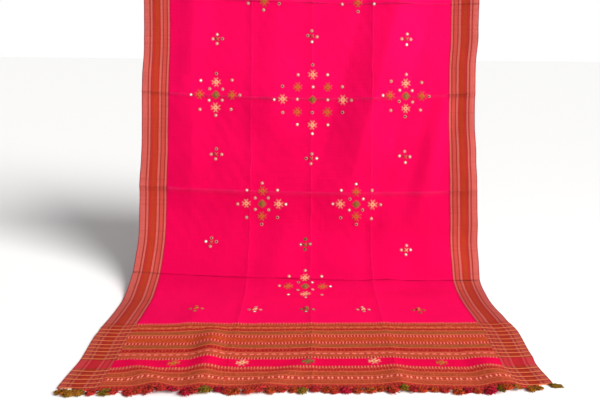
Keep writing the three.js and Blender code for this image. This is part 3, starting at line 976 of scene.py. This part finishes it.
def make_embroidery():
    shapes = {
        "star": star_shape(), "diamond": diamond_shape(0.0088), "outline": diamond_outline(0.0122),
        "cross": cross_shape(0.0052), "knot": cross_shape(0.0026), "mirror": mirror_shape(),
        "ring": round_of_stitches("ring", MIRROR_RADIUS - 0.0003, MIRROR_RADIUS + 0.0017, 0.0010, 1.08),
        "stem": round_of_stitches("stem", MIRROR_RADIUS + 0.0014, MIRROR_RADIUS + 0.0026, 0.0005, 1.0),
    }
    sets = {name: Scatter() for name in THREADS}
    mirrors = Scatter()

    def stitch(thread, shape, u, v, lift, turn, size=1.0):
        sets[thread].add(shapes[shape], u, v, lift, turn, size)

    def star(u, v, shade):
        u += uneven(0.001)
        v += uneven(0.001)
        stitch(shade, "star", u, v, 0.0002, uneven(0.07), random.uniform(0.92, 1.04))
        stitch("ochre" if shade == "cream" else "olive", "cross", u, v, 0.0008, uneven(0.2), 0.6)

    def mirror(u, v, ring="rose", dull=False):
        u += uneven(0.0016)
        v += uneven(0.0016)
        tilt = (uneven(0.16), uneven(0.16))
        # The tone picks the mirror's painted reflection, a darker one for a dull mirror.
        tone = random.random() * (DULL_REFLECTIONS if dull else 1.0)
        mirrors.add(shapes["mirror"], u, v, 0.0005, 0, random.uniform(0.92, 1.08), tilt, tone)
        stitch(ring, "ring", u, v, 0.0001, uneven(0.3))
        stitch("brown", "stem", u, v, 0.0001, uneven(0.3))

    def diamond(u, v, size=1.0):
        stitch("olive", "diamond", u, v, 0.0002, uneven(0.05), size)
        stitch("ochre", "outline", u, v, 0.0001, uneven(0.05), size)
        stitch("coral", "outline", u, v, 0.0010, uneven(0.05), size * 0.62)
        stitch("ochre", "knot", u, v, 0.0011, 0, size)

    def small_motif(u, v, shade):
        stitch(shade, "cross", u, v, 0.0012, uneven(0.2), 1.75)
        stitch("coral", "cross", u, v, 0.0006, math.pi / 4 + uneven(0.2), 0.9)
        for quarter in range(4):
            turn = quarter * math.pi / 2 + uneven(0.12)
            reach = SMALL_REACH + uneven(0.0012)
            aside, along = reach * math.cos(turn), reach * math.sin(turn)
            mirror(u + aside, v + along, RING_THREADS[shade], shade == "ochre")

    def medallion(u, v, kind):
        diamond(u, v)
        across, along = ("ochre", "cream") if kind == "A" else ("cream", "ochre")
        for side in (-1, 1):
            star(u + side * 0.046, v, across)
            star(u, v + side * 0.0356, along)
            mirror(u + side * 0.068, v)
            mirror(u, v + side * 0.059)
            for rise in (-1, 1):
                mirror(u + side * 0.0185, v + rise * 0.016)
                mirror(u + side * 0.0440, v + rise * 0.040)

    def large_medallion(u, v):
        diamond(u, v, 0.95)
        for i, j in ((1, 1), (1, -1), (-1, 1), (-1, -1)):
            star(u + i * LARGE_STEP_U, v + j * LARGE_STEP_V, "ochre")
            mirror(u + i * LARGE_STEP_U, v + 2 * j * LARGE_STEP_V)
            mirror(u + 2 * i * LARGE_STEP_U, v + j * LARGE_STEP_V)
        for i, j in ((1, 0), (-1, 0), (0, 1), (0, -1)):
            star(u + 2 * i * LARGE_STEP_U, v + 2 * j * LARGE_STEP_V, "cream")
            mirror(u + i * LARGE_STEP_U, v + j * LARGE_STEP_V)
            mirror(u + OUTER_U * i * LARGE_STEP_U, v + OUTER_V * j * LARGE_STEP_V)

    for mirrored in (False, True):
        for u, shade in GAP_STARS:
            star(u, CLOTH_LENGTH - GAP_V if mirrored else GAP_V, shade)
        for u, v, shade in SMALL_MOTIFS:
            small_motif(u, 2 * MIDDLE_V - v if mirrored else v, shade)
        for u, v, kind in MEDALLIONS:
            medallion(u, 2 * MIDDLE_V - v if mirrored else v, kind)
    for u, v, kind in MIDDLE_MEDALLIONS:
        medallion(u, v, kind)
    large_medallion(*LARGE_MEDALLION)

    for name, (middle, tip) in THREADS.items():
        finish = thread_finish(f"thread_{name}", middle, tip)
        show(sets[name].bm, f"embroidery_{name}", finish)
    show(mirrors.bm, "mirrors", mirror_finish())
    for shape in shapes.values():
        bpy.data.meshes.remove(shape)


TUFT_COUNT = 46
TUFT_STRANDS = 44
TUFT_KINDS = 8
TUFT_LENGTH = 0.0315
TUFT_SPREAD = 0.0150
TUFT_LIFT = 0.0022
BRAID_LENGTH = 0.89
BRAID_DEPTH = 0.009
BRAID_PITCH = 0.0066
# How far the tones of one tuft's yarns spread, and the braid's and its stitches' own tones, which
# are multiplied by that spread as a tuft's are.
TONE_SPREAD = 0.22
BRAID_TONE = 2.4
STITCH_TONE = 3.95
STITCH_LENGTH = 0.0058
STITCH_WIDTH = 0.0036
BRAID_CUTS = 140


def yarn(bm, points, radius):
    """A three-sided strand of yarn through the points, closed at both ends."""
    made = bmesh.ops.create_circle(
        bm, cap_ends=True, segments=3, radius=radius,
        matrix=Matrix.Translation(points[0]) @ Matrix.Rotation(math.pi / 2, 4, "X"),
    )
    face = made["verts"][0].link_faces[0]
    for before, point in zip(points, points[1:]):
        grown = bmesh.ops.extrude_face_region(bm, geom=[face])["geom"]
        face = next(part for part in grown if isinstance(part, bmesh.types.BMFace))
        bmesh.ops.translate(bm, vec=point - before, verts=face.verts)
        width = 0.4 if point is points[-1] else 1.0
        centre = face.calc_center_median()
        bmesh.ops.scale(bm, vec=(width, width, width), verts=face.verts, space=Matrix.Translation(-centre))


def tuft_shape(kind, length, spread):
    """A flat puff of cut yarns that bursts from a knot at the cloth's end, towards -v."""
    draw = random.Random(100 + kind)
    bm = bmesh.new()
    uv = bm.loops.layers.uv.new("cloth")
    middle = -length * 0.50 - BRAID_DEPTH / 2
    heart = Matrix.Diagonal((spread * 0.94, length * 0.38, 0.0017, 1))
    matrix = Matrix.Translation((0, middle, TUFT_LIFT)) @ heart
    bmesh.ops.create_icosphere(bm, subdivisions=1, radius=1, matrix=matrix)
    # The second UV value is painted shade: darker for the knot, lighter for yarns that rise higher.
    values = [(0.5, 0.35)] * len(bm.faces)
    for _ in range(TUFT_STRANDS):
        around = draw.uniform(0, 2 * math.pi)
        rise = draw.uniform(0.05, 1) ** 0.8
        flat = math.sqrt(max(0.0, 1 - rise * rise * 0.8))
        reach = draw.uniform(0.70, 1.14)
        end = Vector((
            spread * reach * flat * math.cos(around),
            middle + length * 0.50 * reach * flat * math.sin(around),
            0.0013 + 0.0020 * reach * rise,
        ))
        end.y = min(end.y, 0.001 - BRAID_DEPTH)
        root = Vector((draw.uniform(-0.5, 0.5) * spread, middle + draw.uniform(0, 0.3) * length, TUFT_LIFT))
        bulge = Vector((draw.uniform(-1, 1) * 0.003, draw.uniform(-1, 1) * 0.003, 0.0008 + 0.0014 * rise))
        points = [root, root.lerp(end, 0.4) + bulge, root.lerp(end, 0.8) + bulge * 0.6, end]
        yarn(bm, points, draw.uniform(0.0009, 0.0013))
        # Painted shade by how high the yarn rises.
        value = (draw.random(), 0.25 + 0.75 * rise * draw.uniform(0.6, 1))
        values += [value] * (len(bm.faces) - len(values))
    for face, value in zip(bm.faces, values):
        for loop in face.loops:
            loop[uv].uv = value
    bmesh.ops.recalc_face_normals(bm, faces=bm.faces)
    return finished(bm, "tuft")


def braid_shape():
    """The narrow braid that the tufts grow from, with a row of darker stitches."""
    bm = bmesh.new()
    uv = bm.loops.layers.uv.new("cloth")
    for index in range(int(BRAID_LENGTH / BRAID_PITCH)):
        along = (index + 0.5) * BRAID_PITCH - BRAID_LENGTH / 2
        satin(bm, along, 0, math.pi / 2, STITCH_LENGTH, STITCH_WIDTH)
    bmesh.ops.translate(bm, vec=(0, -BRAID_DEPTH / 2, CLOTH_THICKNESS), verts=bm.verts)
    stitches = len(bm.faces)
    matrix = Matrix.Translation((0, -BRAID_DEPTH / 2 - 0.0004, CLOTH_THICKNESS / 2 + 0.0001))
    bmesh.ops.create_cube(
        bm, size=1, matrix=matrix @ Matrix.Diagonal((BRAID_LENGTH, BRAID_DEPTH, CLOTH_THICKNESS, 1))
    )
    long_edges = [edge for edge in bm.edges if edge.calc_length() > BRAID_LENGTH / 2]
    bmesh.ops.subdivide_edges(bm, edges=long_edges, cuts=BRAID_CUTS, use_grid_fill=True)
    bm.faces.ensure_lookup_table()
    for index, face in enumerate(bm.faces):
        for loop in face.loops:
            # The braid and its stitches get a little painted shade.
            loop[uv].uv = (STITCH_TONE if index < stitches else BRAID_TONE, 0.8)
    return finished(bm, "braid")


def add_tuft(bm, shape, end_v, along, u, size, stretch, turn, tone):
    """Adds a tuft or the braid to a fringe. along is 1 at the front end and -1 at the back one."""
    copy = shape.copy()
    matrix = (
        Matrix.Translation((u, end_v, 0))
        @ Matrix.Rotation(turn * along, 4, "Z")
        @ Matrix.Diagonal((size, size * stretch * along, size, 1))
    )
    copy.transform(matrix)
    if along < 0:
        copy.flip_normals()
    for item in copy.uv_layers["cloth"].data:
        item.uv[0] = (tone + TONE_SPREAD * item.uv[0]) % 1.0
    bm.from_mesh(copy)
    bpy.data.meshes.remove(copy)


def make_fringes():
    material = fringe_finish()
    kinds = [tuft_shape(kind, TUFT_LENGTH, TUFT_SPREAD) for kind in range(TUFT_KINDS)]
    braid = braid_shape()
    pitch = CLOTH_WIDTH / TUFT_COUNT
    for name, node, end_v, along in (
        ("front_fringe", "fringe_front", 0.0, 1),
        ("back_fringe", "fringe_back", CLOTH_LENGTH, -1),
    ):
        bm = bmesh.new()
        add_tuft(bm, braid, end_v, along, 0, 1, 1, 0, 0)
        for index in range(TUFT_COUNT):
            u = (index + 0.5) * pitch - HALF_WIDTH + uneven(0.002)
            size = random.uniform(0.84, 1.06)
            stretch = random.uniform(0.85, 1.12)
            turn = uneven(0.3)
            tone = 0.92 if index % 9 == 4 else random.uniform(0.16, 0.72)
            if index == 0:
                u, size, stretch, turn, tone = -HALF_WIDTH + 0.018, 1.0, 0.85, -0.2, 0.03
            elif index == TUFT_COUNT - 1:
                u, size, stretch, turn, tone = HALF_WIDTH - 0.020, 0.62, 1.9, 1.25, 0.93
            elif index < 3:
                tone = 0.97
            elif index >= TUFT_COUNT - 4:
                size, tone = 0.80, 0.03
            add_tuft(bm, kinds[index % TUFT_KINDS], end_v, along, u, size, stretch, turn, tone)
        show(bm, name, material, [node])
    for shape in [*kinds, braid]:
        bpy.data.meshes.remove(shape)


RAIL_LENGTH = 1.10
RAIL_SIDES = 64
RAIL_EASE = 0.0012


def make_rail():
    """A plain turned rail with its ends eased."""
    bm = bmesh.new()
    bmesh.ops.create_cone(
        bm, cap_ends=True, segments=RAIL_SIDES, radius1=RAIL_RADIUS, radius2=RAIL_RADIUS,
        depth=RAIL_LENGTH, matrix=Matrix.Rotation(math.pi / 2, 4, "Y"),
    )

    def rims():
        return [edge for edge in bm.edges if any(len(face.verts) > 4 for face in edge.link_faces)]

    bmesh.ops.bevel(bm, geom=rims(), offset=RAIL_EASE, segments=3, profile=0.5, affect="EDGES", material=-1)
    bm.normal_update()
    for edge in rims():
        edge.smooth = False
    show(bm, "wooden_rail", rail_finish(), ["rail"], laid=False)


# Camera worked out from the photo's outline: metres, radians, and pixels of the 600 by 400 picture.
IMAGE_WIDTH = 600
IMAGE_HEIGHT = 400
FOCAL_PIXELS = 658
HORIZON_ROW = 46
CAMERA_PITCH = math.radians(8)
CAMERA_YAW = 0.00694
CAMERA_ROLL = 0.00807
CAMERA_FROM_KNEE = (-0.0121, -1.8014, 0.6467)
SENSOR_WIDTH = 36.0


def make_camera():
    data = bpy.data.cameras.new("camera")
    data.sensor_width = SENSOR_WIDTH
    data.lens = FOCAL_PIXELS / IMAGE_WIDTH * SENSOR_WIDTH
    axis_row = HORIZON_ROW + FOCAL_PIXELS * math.tan(CAMERA_PITCH)
    data.shift_y = (axis_row - IMAGE_HEIGHT / 2) / IMAGE_WIDTH
    camera = in_scene("camera", data)
    turn = (
        Matrix.Rotation(CAMERA_YAW, 4, "Z")
        @ Matrix.Rotation(math.pi / 2 - CAMERA_PITCH, 4, "X")
        @ Matrix.Rotation(CAMERA_ROLL, 4, "Z")
    )
    x, y, z = CAMERA_FROM_KNEE
    camera.matrix_world = Matrix.Translation((x, y - RAIL_Y, z - RAIL_Z)) @ turn
    bpy.context.scene.camera = camera


def soft_box(name, place, target, size, power):
    data = bpy.data.lights.new(name, "AREA")
    data.size = size
    data.energy = power
    light = in_scene(name, data)
    light.location = place
    light.rotation_euler = (Vector(target) - Vector(place)).to_track_quat("-Z", "Y").to_euler()


WORLD_LIGHT = 0.33
BACKDROP_WHITE = 1.0
KEY_LIGHT = 4.7
KEY_DIRECTION = (0.69, -0.53, 0.49)
KEY_ANGLE = math.radians(34)
KEY_COLOUR = (1, 0.99, 0.97)
# The other lights: place, target, size and power.
SIDE_LIGHT = ((1.25, -1.35, -0.35), (0.3, -0.6, -0.9), 0.9, 8.5)
TOP_LIGHT = ((0.2, -1.7, 0.6), (0, 0, 0), 1.2, 2.5)
FLOOR_SIZE = 30
FLOOR_GAP = 0.0002
FLOOR_WHITE = (0.93, 0.93, 0.93, 1)


def make_studio():
    """A pale floor, and soft light from above, in front and to the right."""
    bm = bmesh.new()
    bmesh.ops.create_grid(bm, x_segments=1, y_segments=1, size=FLOOR_SIZE)
    bmesh.ops.translate(bm, vec=(0, 0, -RAIL_Z - FLOOR_GAP), verts=bm.verts)
    mesh = finished(bm, "floor")
    paint = bpy.data.materials.new("floor_white")
    paint.use_nodes = True
    shader = paint.node_tree.nodes["Principled BSDF"]
    shader.inputs["Base Color"].default_value = FLOOR_WHITE
    shader.inputs["Roughness"].default_value = 0.9
    mesh.materials.append(paint)
    floor = in_scene("floor", mesh)
    world = bpy.data.worlds.new("studio")
    world.use_nodes = True
    tree = world.node_tree
    tree.nodes["Background"].inputs["Color"].default_value = WHITE
    seen = tree.nodes.new("ShaderNodeLightPath").outputs["Is Camera Ray"]
    strength = tree.nodes.new("ShaderNodeMapRange")
    strength.inputs["To Min"].default_value = WORLD_LIGHT
    strength.inputs["To Max"].default_value = BACKDROP_WHITE
    tree.links.new(seen, strength.inputs["Value"])
    tree.links.new(strength.outputs["Result"], tree.nodes["Background"].inputs["Strength"])
    bpy.context.scene.world = world
    data = bpy.data.lights.new("key", "SUN")
    data.energy = KEY_LIGHT
    data.angle = KEY_ANGLE
    data.color = KEY_COLOUR
    key = in_scene("key", data)
    key.rotation_euler = Vector(KEY_DIRECTION).to_track_quat("Z", "Y").to_euler()
    soft_box("side_light", *SIDE_LIGHT)
    soft_box("top_light", *TOP_LIGHT)
    bpy.context.scene.view_settings.view_transform = "Standard"


make_camera()
make_cloth()
make_embroidery()
make_fringes()
make_rail()
make_studio()
